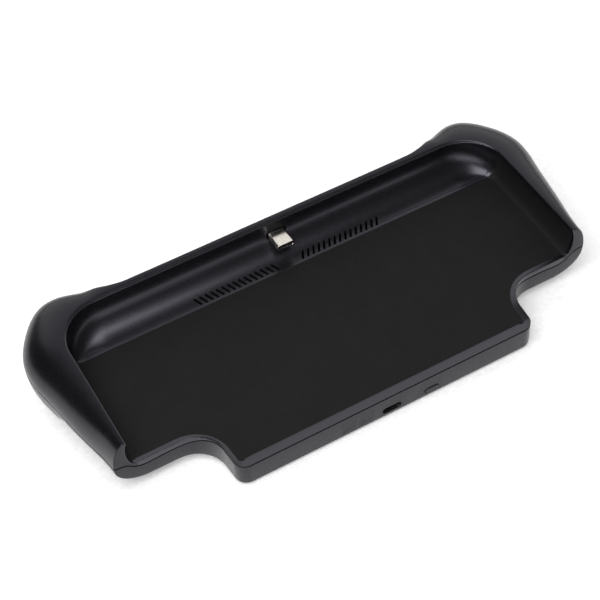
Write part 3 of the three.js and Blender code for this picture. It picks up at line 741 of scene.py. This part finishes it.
def lower_skin(shape, inset, bottom_round, chamfer):
    """One side of the lower shell, from the gap down over the grips and the near wall to the back.
    Returns its loop beside the gap, with the level direction out at each point."""
    drop = GROOVE + chamfer
    first = Station(HALF_LENGTH, EAR_Y + inset, 1, 0, 0, 0)
    stations = rim_stations([first.y + bottom_round + 0.8])

    def profile(p):
        high = turn_at(p, parting_z(p) - drop)
        points = [skin(p, turn, inset) for turn in spread(high, -90, KEEL_ROWS)]
        if inset:
            points[0] = (points[0][0], parting_z(p) - drop)
        return points

    radii = [lerp(SIDE_ROUND, bottom_round, fade(share, *ROUND_FADE)) for share in spread(0, 1, KEEL_ROWS)]
    fillet = rounded_columns(first, first.y, profile(first), radii, (1, 0), (0, -1))
    columns = fillet + [[at(p, o, z) for o, z in profile(p)] for p in stations]
    columns += map(mirror_row, reversed(fillet))
    shape.grid(columns)
    near = [e._replace(x=e.x - e.nx * inset, y=e.y - e.ny * inset) for e in near_edge(KEEL_X)]
    near_columns = wall_columns(near, inset, bottom_round, drop)
    shape.grid(near_columns)

    # Back, with the grips' undersides
    skipped = len(FILLET) - 1
    outline = [c[-1] for c in columns[skipped:-skipped]] + [c[-1] for c in reversed(near_columns)]

    def lift(q):
        return (q[0], q[1], BACK_Z + inset - grip_depth(q[0], q[1]))

    shape.fill([outline], plan, interior=lattice_inside(outline), lift=lift)

    # Fronts of the ears: the loop goes down to the near wall's lower edge, and has no point twice
    right_ear = ear_line(KEEL_X, columns[0][0][0], first.y, -drop)
    top, bottom = near_columns[0][0], near_columns[0][-len(FILLET)]
    ear_face = columns[0] + [top] + right_ear
    ear_face = [p for i, p in enumerate(ear_face) if p != ear_face[i - 1]]
    corner = ear_face.index(top)
    if ear_face[corner - 1] != bottom:
        ear_face.insert(corner, bottom)
    shape.fill_ears(ear_face)
    loop = round_trip([c[0] for c in columns], [c[0] for c in near_columns], right_ear)
    return loop, trip_directions(FILLET_DIRECTIONS, stations, near, right_ear)


def build_back(materials):
    shape = Shape()
    outer, directions = lower_skin(shape, 0.0, BACK_ROUND, GROOVE)
    upper = offset_loop(outer, directions, GROOVE, GROOVE)
    shape.grid(list(zip(outer, upper)), closed=True)
    inner, _ = lower_skin(shape, WALL, INNER_BACK_ROUND, 0.0)
    shape.fill([upper, inner], plan)
    return shape.make("back_cover", materials)


# ---- Solids along one axis ----

def loft(shape, rings, slot=0, hollow=False):
    """A skin through rings of points, with flat ends. A hollow one closes on itself instead."""
    shape.grid([ring + ring[:1] for ring in rings], slot=slot, closed=hollow)
    if not hollow:
        shape.add_face(rings[0], slot)
        shape.add_face(rings[-1], slot)


def slots_along(shape, x, z, stops, slot=0, hollow=False, arc=10):
    """A loft along y through slot outlines at (y, width, height) stops."""
    rings = [[(x + u, y, z + v) for u, v in pill(width, height, arc)] for y, width, height in stops]
    loft(shape, rings, slot, hollow)


def stop(y, size, grow=0.0):
    """A stop with the width and height of a piece, grown all round."""
    return (y, size.width + 2 * grow, size.height + 2 * grow)


def round_end(y, size, steps=5):
    """Stops that round off a slot-shaped piece's near end, at y, to its edge's radius. One more stop just
    before the rounding keeps its shading off the long sides."""
    stops = [stop(y + size.edge + BESIDE, size)]
    for cos, sin in map(cos_sin, spread(0, 90, steps)):
        stops.append(stop(y + size.edge * (1 - sin), size, -size.edge * (1 - cos)))
    return stops


def revolve(shape, profile, place, count):
    """A skin from (radius, height) points turned about an axis. place turns (u, v, height) into a point."""
    turns = [cos_sin(360 * i / count) for i in range(count + 1)]
    shape.grid([[place(r * cos, r * sin, h) for r, h in profile] for cos, sin in turns])


def pad(shape, x, y, z, width, length, height, slot):
    """A small contact: a flat pad with a chamfered edge, height above or below z."""
    chamfer = 0.3 * abs(height)
    rings = []
    for rise, inset in ((0, 0), (height * 0.7, 0), (height, chamfer)):
        a, b = width / 2 - inset, length / 2 - inset
        rings.append([(x + u, y + v, z + rise) for u, v in ((-a, -b), (a, -b), (a, b), (-a, b))])
    loft(shape, rings, slot)


def contacts(shape, x, y, z, apart, width, length, height):
    """Two rows of contacts, on faces apart above and below z. They face each other if height is below 0."""
    for u in spread(-CONTACTS.reach, CONTACTS.reach, CONTACTS.count):
        for side in (1, -1):
            pad(shape, x + u, y, z + side * apart, width, length, side * height, 1)


# ---- Cutters ----

def hole_along(x, z, outline, flare):
    """A cutter for a hole in the near wall, with a small chamfer on the outside."""
    radius = max(v for _, v in outline)
    reach = max(u for u, _ in outline) - radius
    rings = []
    for y, grow in ((NEAR_Y - 1, flare), (NEAR_Y, flare), (NEAR_Y + flare, 0), (NEAR_Y + WALL + 1, 0)):
        ring = []
        for u, v in outline:
            centre = min(max(u, -reach), reach)
            share = 1 + grow / math.hypot(u - centre, v)
            ring.append((x + centre + (u - centre) * share, y, z + v * share))
        rings.append(ring)
    shape = Shape()
    loft(shape, rings)
    return shape.make("hole")


def vent_slots(low, high):
    """A cutter for both rows of slots."""
    shape = Shape()
    for side in (1, -1):
        cos, sin = cos_sin(90 - side * VENT.slant)
        for i in range(VENT.count):
            x = side * (VENT.first_x + i * VENT.pitch)
            slot = pill(VENT.length, VENT.width, 6)
            outline = [(x + u * cos - v * sin, VENT.y + u * sin + v * cos) for u, v in slot]
            loft(shape, [[(a, b, z) for a, b in outline] for z in (low, high)])
    return shape.make("vents")


def screw_places():
    return [(side * x, y) for side in (1, -1) for x, y in SCREWS]


def screw_holes():
    """A cutter for the six sunk holes, each with a chamfered mouth and a narrow hole for the screw."""
    shape = Shape()
    mouth = SINK.radius + SINK.chamfer
    for x, y in screw_places():
        surface_z = BACK_Z - grip_depth(x, y)
        profile = [
            (0, BELOW_Z), (mouth, BELOW_Z), (mouth, surface_z), (SINK.radius, surface_z + SINK.chamfer),
            (SINK.radius, SINK.top_z), (SINK.hole_radius, SINK.top_z), (SINK.hole_radius, SINK.hole_top_z),
            (0, SINK.hole_top_z),
        ]
        revolve(shape, profile, lambda u, v, h, x=x, y=y: (x + u, y + v, h), 32)
    return shape.make("screw_holes")


def split_inside(built, y):
    """Splits the faces of the tray's inside along a line across it."""
    faces = [f for f in built.faces if f.material_index != SATIN]
    around = list({e for f in faces for e in f.edges}) + list({v for f in faces for v in f.verts})
    bmesh.ops.bisect_plane(built, geom=faces + around, dist=0.001, plane_co=(0, y, 0), plane_no=(0, 1, 0))


def step_cove(obj):
    """Ends the textured floor in a fine step up to the smooth cove, with a second step just beyond it."""
    built = bmesh.new()
    built.from_mesh(obj.data)
    for y, rise in SEAMS:
        split_inside(built, y)
        split_inside(built, y + SEAM_WIDTH)
        lifted = {v for f in built.faces if f.material_index != SATIN for v in f.verts}
        for vert in lifted:
            if vert.co.y > y + SEAM_WIDTH / 2:
                vert.co.z += rise * (1 - smooth(vert.co.z / END_CURVE.height))
    lip_y = EAR_Y + 0.8 * EAR_LIP.width
    for face in built.faces:
        centre = face.calc_center_median()
        on_lip = abs(centre.x) > END_FLOOR_X and centre.y < lip_y
        if face.material_index == MATTE and (centre.y > MATTE_Y or on_lip):
            face.material_index = COVE
    built.to_mesh(obj.data)
    built.free()


# ---- Materials ----

def finish(name, dark, light, roughness, grain, metallic=0.0, stretch=(1, 1, 1), patch=90.0, wear=0.0,
           pattern=None, **sockets):
    """A moulded, plated or drawn surface. dark and light are the ends of its colour variation, roughness is
    a (low, high) pair, grain is the (size, depth) of its fine bumps in millimetres, patch is how many patches
    of colour a metre has, and wear lightens edges. pattern is a texture node's kind, its inputs and the
    colour that it draws, and sockets are further settings of the shader."""
    material = bpy.data.materials.new(name)
    material.use_nodes = True
    tree = material.node_tree

    def feed(made, inputs):
        for key, value in inputs.items():
            socket = made.inputs[key.replace("_", " ")]
            if isinstance(value, bpy.types.NodeSocket):
                tree.links.new(value, socket)
            else:
                socket.default_value = value

    def node(kind, output, **inputs):
        made = tree.nodes.new(kind)
        feed(made, inputs)
        return made.outputs[output]

    place = node("ShaderNodeTexCoord", "Object")
    vector = node("ShaderNodeMapping", "Vector", Vector=place, Scale=stretch)

    def noise(scale, octaves, rough=0.55):
        return node("ShaderNodeTexNoise", "Fac", Vector=vector, Scale=scale, Detail=octaves, Roughness=rough)

    def ranged(source, low, high, start=0.3, end=0.7):
        return node("ShaderNodeMapRange", "Result", Value=source, From_Min=start, From_Max=end, To_Min=low,
                    To_Max=high)

    def mixed(share, first, second):
        made = tree.nodes.new("ShaderNodeMix")
        made.data_type = "RGBA"
        tree.links.new(share, made.inputs["Factor"])
        for key, value in (("A", first), ("B", second)):
            socket = next(s for s in made.inputs if s.name == key and s.type == "RGBA")
            if isinstance(value, tuple):
                socket.default_value = (*value, 1)
            else:
                tree.links.new(value, socket)
        return next(s for s in made.outputs if s.type == "RGBA")

    speckle = noise(1000 / grain[0], 2.0)
    colour = mixed(ranged(noise(patch, 4.0), 0, 1), dark, light)
    colour = mixed(ranged(speckle, 0, 0.35), colour, tuple(c * 1.5 for c in light))
    if pattern:
        kind, inputs, ink = pattern
        colour = mixed(node(kind, "Fac", Vector=vector, **inputs), colour, ink)
    if wear:
        share = ranged(node("ShaderNodeNewGeometry", "Pointiness"), 0, wear, 0.52, 0.62)
        colour = mixed(share, colour, tuple(min(c * 6 + 0.02, 0.9) for c in light))
    bump = node("ShaderNodeBump", "Normal", Strength=1.0, Distance=grain[1] / 1000, Height=speckle)
    rough = ranged(noise(patch * 9, 3.0, 0.65), *roughness)
    feed(tree.nodes["Principled BSDF"], dict(
        Base_Color=colour, Roughness=rough, Normal=bump, Metallic=metallic, **sockets
    ))
    return material


TRACKS = ("ShaderNodeTexBrick", {"Scale": 260.0, "Mortar_Size": 0.06}, (0.03, 0.16, 0.07))
CONDUCTORS = ("ShaderNodeTexWave", {"Scale": 640.0}, (0.75, 0.5, 0.28))

SHELL = finish("shell_satin", (0.0026, 0.0026, 0.003), (0.0042, 0.0042, 0.0048), (0.26, 0.34),
               (0.22, 0.003), Specular_IOR_Level=0.37, Specular_Tint=(0.86, 0.83, 1.0, 1.0))
FLOOR_FINISH = finish("floor_matte", (0.0064, 0.0064, 0.007), (0.0084, 0.0084, 0.009), (0.62, 0.74),
                      (0.16, 0.01), Specular_IOR_Level=0.18)
COVE_FINISH = finish("cove_smooth", (0.0022, 0.0022, 0.0026), (0.0034, 0.0034, 0.004), (0.27, 0.33),
                     (0.3, 0.0015), Specular_IOR_Level=0.78, Specular_Tint=(0.88, 0.85, 1.0, 1.0))
NICKEL = finish("nickel", (0.62, 0.59, 0.53), (0.76, 0.73, 0.67), (0.18, 0.22), (0.4, 0.0003),
                metallic=1.0, stretch=(1, 0.3, 1), patch=60)
# Steel of the port's sleeve, its colour darkened to paint in the shade inside the port's mouth
SHADED_PORT_STEEL = finish("port_steel_painted_shade", (0.05, 0.05, 0.05), (0.09, 0.09, 0.09), (0.25, 0.36),
                    (0.15, 0.002), metallic=1.0, patch=500)
GOLD = finish("contact_gold", (0.7, 0.46, 0.18), (0.85, 0.6, 0.28), (0.22, 0.34), (0.1, 0.001),
              metallic=1.0, patch=700)
BLACK = finish("inner_black", (0.004, 0.004, 0.0042), (0.008, 0.008, 0.0084), (0.42, 0.55),
               (0.2, 0.004), patch=220)
BOARD = finish("solder_mask", (0.008, 0.05, 0.022), (0.014, 0.09, 0.04), (0.28, 0.4), (0.3, 0.003),
               pattern=TRACKS, patch=160)
FILM = finish("amber_film", (0.3, 0.13, 0.02), (0.44, 0.21, 0.05), (0.25, 0.36), (0.2, 0.002),
              pattern=CONDUCTORS, patch=120)
EPOXY = finish("chip_epoxy", (0.012, 0.012, 0.013), (0.024, 0.024, 0.026), (0.5, 0.62),
               (0.12, 0.006), patch=400)
CERAMIC = finish("tan_ceramic", (0.36, 0.26, 0.15), (0.48, 0.36, 0.22), (0.35, 0.5), (0.2, 0.004),
                 patch=500)
CLEAR = finish("clear_light", (0.1, 0.1, 0.11), (0.16, 0.16, 0.17), (0.1, 0.2), (0.3, 0.001),
               patch=600, Transmission_Weight=0.8, IOR=1.49)
STEEL = finish("zinc_steel", (0.3, 0.3, 0.31), (0.48, 0.48, 0.5), (0.28, 0.42), (0.15, 0.004),
               metallic=1.0, patch=420, wear=0.2)
FOIL = finish("cell_foil", (0.42, 0.43, 0.45), (0.6, 0.61, 0.63), (0.3, 0.46), (1.2, 0.04),
              metallic=0.9, patch=60)
FOAM = finish("black_foam", (0.01, 0.01, 0.01), (0.03, 0.03, 0.03), (0.85, 0.95), (0.4, 0.08),
              patch=300)
RED = finish("lead_red", (0.3, 0.012, 0.01), (0.46, 0.02, 0.016), (0.4, 0.52), (0.3, 0.004),
             patch=300)
DARK = finish("lead_black", (0.008, 0.008, 0.008), (0.016, 0.016, 0.016), (0.4, 0.52), (0.3, 0.004),
              patch=300)


# ---- Pieces ----

def put(obj, node, body="grip"):
    """Moves a finished piece from the tray's frame into the part's, hangs it on its body and hides the CAD
    node that it stands for.
    """
    obj.data.transform(TO_PART)
    obj.data.update()
    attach(obj, body)
    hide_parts(node)


def make_upper_shell():
    tray = build_tray([SHELL, FLOOR_FINISH, COVE_FINISH])
    step_cove(tray)
    window = Shape()
    slots_along(window, 0, PLUG.z, [stop(y, BOSS, WINDOW_CLEARANCE) for y in WINDOW_Y])
    cut(tray, [vent_slots(-3, 8), window.make("window")])
    put(tray, "tray_shell")


def make_lower_shell():
    back = build_back([SHELL])
    cutters = [
        hole_along(PORT.x, PORT.z, pill(PORT.width + 0.1, PORT.height + 0.1), 0.12),
        hole_along(BUTTON.x, BUTTON.z, pill(BUTTON.width + 0.5, BUTTON.height + 0.5), 0.15),
        screw_holes(),
        vent_slots(-20, -8),
    ]
    circle = [(LIGHTS.radius * cos, LIGHTS.radius * sin) for cos, sin in map(cos_sin, range(0, 360, 20))]
    cutters += [hole_along(light_x(i), LIGHTS.z, circle, LIGHTS.clearance) for i in range(LIGHTS.count)]
    cut(back, cutters)
    put(back, "back_shell")


def make_button():
    """The button's cap, with the wider foot that holds it inside the wall."""
    shape = Shape()
    front = NEAR_Y - BUTTON.proud
    stops = [stop(FOOT.back_y, FOOT), stop(FOOT.front_y, FOOT), stop(FOOT.front_y, BUTTON)]
    stops += round_end(front, BUTTON) + [stop(front - swell, BUTTON, -inset) for swell, inset in SWELL]
    slots_along(shape, BUTTON.x, BUTTON.z, stops, arc=14)
    put(shape.make("button_cap", [SHELL]), "power_button", "button")


def make_plug():
    tip = PLUG.tip_y
    sleeve = Shape()
    stops = [stop(PLUG_END_Y, PLUG)] + round_end(tip, PLUG) + [stop(tip + 0.02, PLUG, -PLUG.mouth_wall)]
    stops += [stop(y, PLUG, -PLUG.wall) for y in (tip + 0.14, PLUG_END_Y)]
    slots_along(sleeve, 0, PLUG.z, stops, hollow=True, arc=16)
    put(sleeve.make("plug_sleeve", [NICKEL]), "plug_shell")

    core = Shape()
    stops = [stop(CORE.back_y, CORE)] + round_end(CORE.front_y, CORE)
    stops += [stop(CORE.front_y, MOUTH, MOUTH.flare)]
    stops += [stop(y, MOUTH) for y in (CORE.front_y + MOUTH.flare_depth, MOUTH.back_y)]
    slots_along(core, 0, PLUG.z, stops, arc=12)
    contacts(core, 0, CORE.front_y + 2, PLUG.z, MOUTH.height / 2, 0.26, 2.6, -0.12)
    for x in spread(-MARKS.reach, MARKS.reach, MARKS.count):
        pad(core, x, MARKS.y, PLUG.z + MARKS.rise, MARKS.width, MARKS.length, MARKS.height, 2)
    slots_along(core, 0, PLUG.z - BLOCK.drop, [stop(y, BLOCK) for y in (CORE.front_y, BLOCK.front_y)])
    put(core.make("plug_core", [BLACK, GOLD, NICKEL]), "plug_insert")


def make_boss():
    """The black collar in the far wall that the plug comes out of, chamfered round the plug."""
    shape = Shape()
    stops = [stop(BOSS.back_y, BOSS)] + round_end(BOSS.front_y, BOSS)
    stops += [stop(y, PLUG, gap) for y, gap in BOSS_BORE]
    slots_along(shape, 0, PLUG.z, stops, hollow=True, arc=14)
    put(shape.make("plug_boss", [BLACK]), "plug_holder")


def make_port():
    lip = NEAR_Y + PORT.recess
    sleeve = Shape()
    stops = [stop(PORT.back_y, PORT)] + round_end(lip, PORT) + [stop(lip, PORT, -PORT.mouth_wall)]
    stops += [stop(y, PORT, -PORT.wall) for y in (lip + 0.15, PORT.back_y)]
    slots_along(sleeve, PORT.x, PORT.z, stops, hollow=True, arc=14)
    put(sleeve.make("port_sleeve", [SHADED_PORT_STEEL]), "port_shell")

    shape = Shape()
    slots_along(shape, PORT.x, PORT.z, PORT_ROOT + round_end(lip + BLADE.setback, BLADE), arc=8)
    tip = lip + PLATE.setback
    slots_along(shape, PORT.x, PORT.z, [stop(tip + PLATE.length, PLATE)] + round_end(tip, PLATE, 3), 2, arc=4)
    contacts(shape, PORT.x, lip + 2.3, PORT.z, BLADE.height / 2, 0.25, 2.4, 0.05)
    put(shape.make("port_blade", [BLACK, GOLD, STEEL]), "port_tongue")


def light_x(i):
    return LIGHTS.x + (i - (LIGHTS.count - 1) / 2) * LIGHTS.pitch


def make_lights():
    """The light pipes, each a rod with a low dome that ends just in front of the near wall."""
    radius = LIGHTS.radius - LIGHTS.clearance
    profile = [(0, LIGHTS.back_y), (radius, LIGHTS.back_y), (radius, DOME.y)]
    profile += [(radius * cos, DOME.y - DOME.height * sin) for cos, sin in map(cos_sin, range(15, 90, 15))]
    profile += [(0, DOME.y - DOME.height)]
    for i in range(LIGHTS.count):
        shape = Shape()
        revolve(shape, profile, lambda u, v, h, i=i: (light_x(i) + u, h, LIGHTS.z + v), 28)
        put(shape.make(f"light_lens_{i + 1}", [CLEAR]), f"light_pipe_{i + 1}")


def screw_pattern():
    """One pan-head screw with a coarse thread and a cross recess, at the origin."""
    shape = Shape()
    neck_z = SINK.top_z - 0.02
    profile = [(0, SCREW.head_z)]
    for cos, sin in map(cos_sin, (25, 45, 62, 76, 90)):
        profile.append((SCREW.head * sin, SCREW.head_z + SCREW.crown * (1 - cos)))
    profile += [(SCREW.head, neck_z), (SCREW.shank, neck_z)]
    z = SINK.top_z + 0.3
    while z < SCREW.end_z - 0.6:
        profile += [(SCREW.shank * SCREW.core, z), (SCREW.shank, z + 0.22), (SCREW.shank, z + 0.28)]
        z += SCREW.pitch
    profile += [(SCREW.shank * 0.5, SCREW.end_z - 0.1), (0, SCREW.end_z)]
    revolve(shape, profile, lambda u, v, h: (u, v, h), 36)
    pattern = shape.make("screw_pattern", [STEEL])
    for cos, sin in ((1, 0), (0, 1)):
        rings = []
        for z, length, width in RECESS:
            corners = [(-length, -width), (length, -width), (length, width), (-length, width)]
            rings.append([(u * cos - v * sin, u * sin + v * cos, z) for u, v in corners])
        cutter = Shape()
        loft(cutter, rings)
        cut(pattern, [cutter.make("recess")])
    return pattern


def make_screws():
    """The pattern at six places, turned differently at each."""
    pattern = screw_pattern()
    for i, (x, y) in enumerate(screw_places()):
        screw = show(f"screw_{i + 1}", pattern.data.copy())
        turn = Matrix.Rotation(math.radians(SCREW.turn * i), 4, "Z")
        screw.data.transform(Matrix.Translation((x, y, 0)) @ turn)
        put(screw, f"case_screw_{i + 1}")
    bpy.data.objects.remove(pattern)


INNER = [
    (BLACK, "cable_socket switch_plunger"),
    (BOARD, "plug_board main_board"),
    (FILM, "flat_cable"),
    (EPOXY, "charge_chip control_chip power_coil"),
    (STEEL, "switch_body"),
    (FOIL, "cell_left cell_right"),
    (FOAM, "cell_pad_left cell_pad_right"),
    (RED, "cell_lead_left_plus cell_lead_right_plus"),
    (DARK, "cell_lead_left_minus cell_lead_right_minus"),
    (CERAMIC, " ".join(f"capacitor_{i} light_chip_{i}" for i in range(1, 5))),
]


def dress_inner_nodes():
    """Finishes for the CAD nodes that are shown as they are."""
    for material, names in INNER:
        for name in names.split():
            mesh = frame["nodes"][name].data
            mesh.materials.clear()
            mesh.materials.append(material)


# ---- Studio, in metres ----

# Each light: name, place, the point that it faces, size and watts
LAMPS = [
    ("overhead", (-0.36, -0.38, 0.85), (0, 0, 0), (0.95, 0.83), 10),
    ("front", (-0.4, -1.1, 0.16), (0, 0, 0.02), (1.2, 0.3), 2.2),
    ("back", (0.42, 0.85, 0.74), (0, 0, 0.02), (2.3, 1.3), 9.2),
]
WORLD_STRENGTH = 0.06
PAPER_GLOW = 0.28  # keeps the floor pale out to the horizon
PAPER_HALF = 9
PAPER_Z = -0.0002
CAMERA_PLACE = (-0.19925, -0.44097, 0.47506)
CAMERA_AIM = (0.0021, 0.02619, 0)
CAMERA_ROLL = -8.449  # degrees
LENS = 94.708


def stand(obj, place, aim, roll=0.0):
    """Puts a light or the camera at a place, turned towards a point."""
    rotation = (Vector(aim) - Vector(place)).to_track_quat("-Z", "Y")
    rotation @= Quaternion((0, 0, 1), math.radians(roll))
    obj.matrix_world = Matrix.Translation(place) @ rotation.to_matrix().to_4x4()


def make_lamps():
    for name, place, aim, size, power in LAMPS:
        data = bpy.data.lights.new(name, "AREA")
        data.shape = "RECTANGLE"
        data.size, data.size_y = size
        data.energy = power
        stand(show(name, data), place, aim)


def make_world():
    scene = bpy.context.scene
    scene.view_settings.view_transform = "Standard"
    world = bpy.data.worlds.new("studio")
    world.use_nodes = True
    background = world.node_tree.nodes["Background"]
    background.inputs["Color"].default_value = (1, 1, 1, 1)
    background.inputs["Strength"].default_value = WORLD_STRENGTH
    scene.world = world


def make_floor():
    floor = Shape()
    corners = ((-1, -1), (1, -1), (1, 1), (-1, 1))
    floor.add_face([(PAPER_HALF * u, PAPER_HALF * v, PAPER_Z) for u, v in corners])
    paper = finish("paper", (0.86, 0.86, 0.86), (0.88, 0.88, 0.88), (0.85, 0.95), (2, 0.001), patch=4,
                   Specular_IOR_Level=0.1, Emission_Color=(1, 1, 1, 1), Emission_Strength=PAPER_GLOW)
    floor.make("floor", [paper])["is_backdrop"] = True


def make_camera():
    data = bpy.data.cameras.new("camera")
    data.lens = LENS
    data.sensor_width = 36
    data.clip_start = 0.01
    camera = show("camera", data)
    stand(camera, CAMERA_PLACE, CAMERA_AIM, CAMERA_ROLL)
    bpy.context.scene.camera = camera


make_world()
make_floor()
make_lamps()
make_camera()
make_upper_shell()
make_lower_shell()
make_button()
make_plug()
make_boss()
make_port()
make_lights()
make_screws()
dress_inner_nodes()

boxes = {"cad": cad_box, "visual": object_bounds()}
{name: [[float(c) for c in corner] for corner in box] for name, box in boxes.items()}
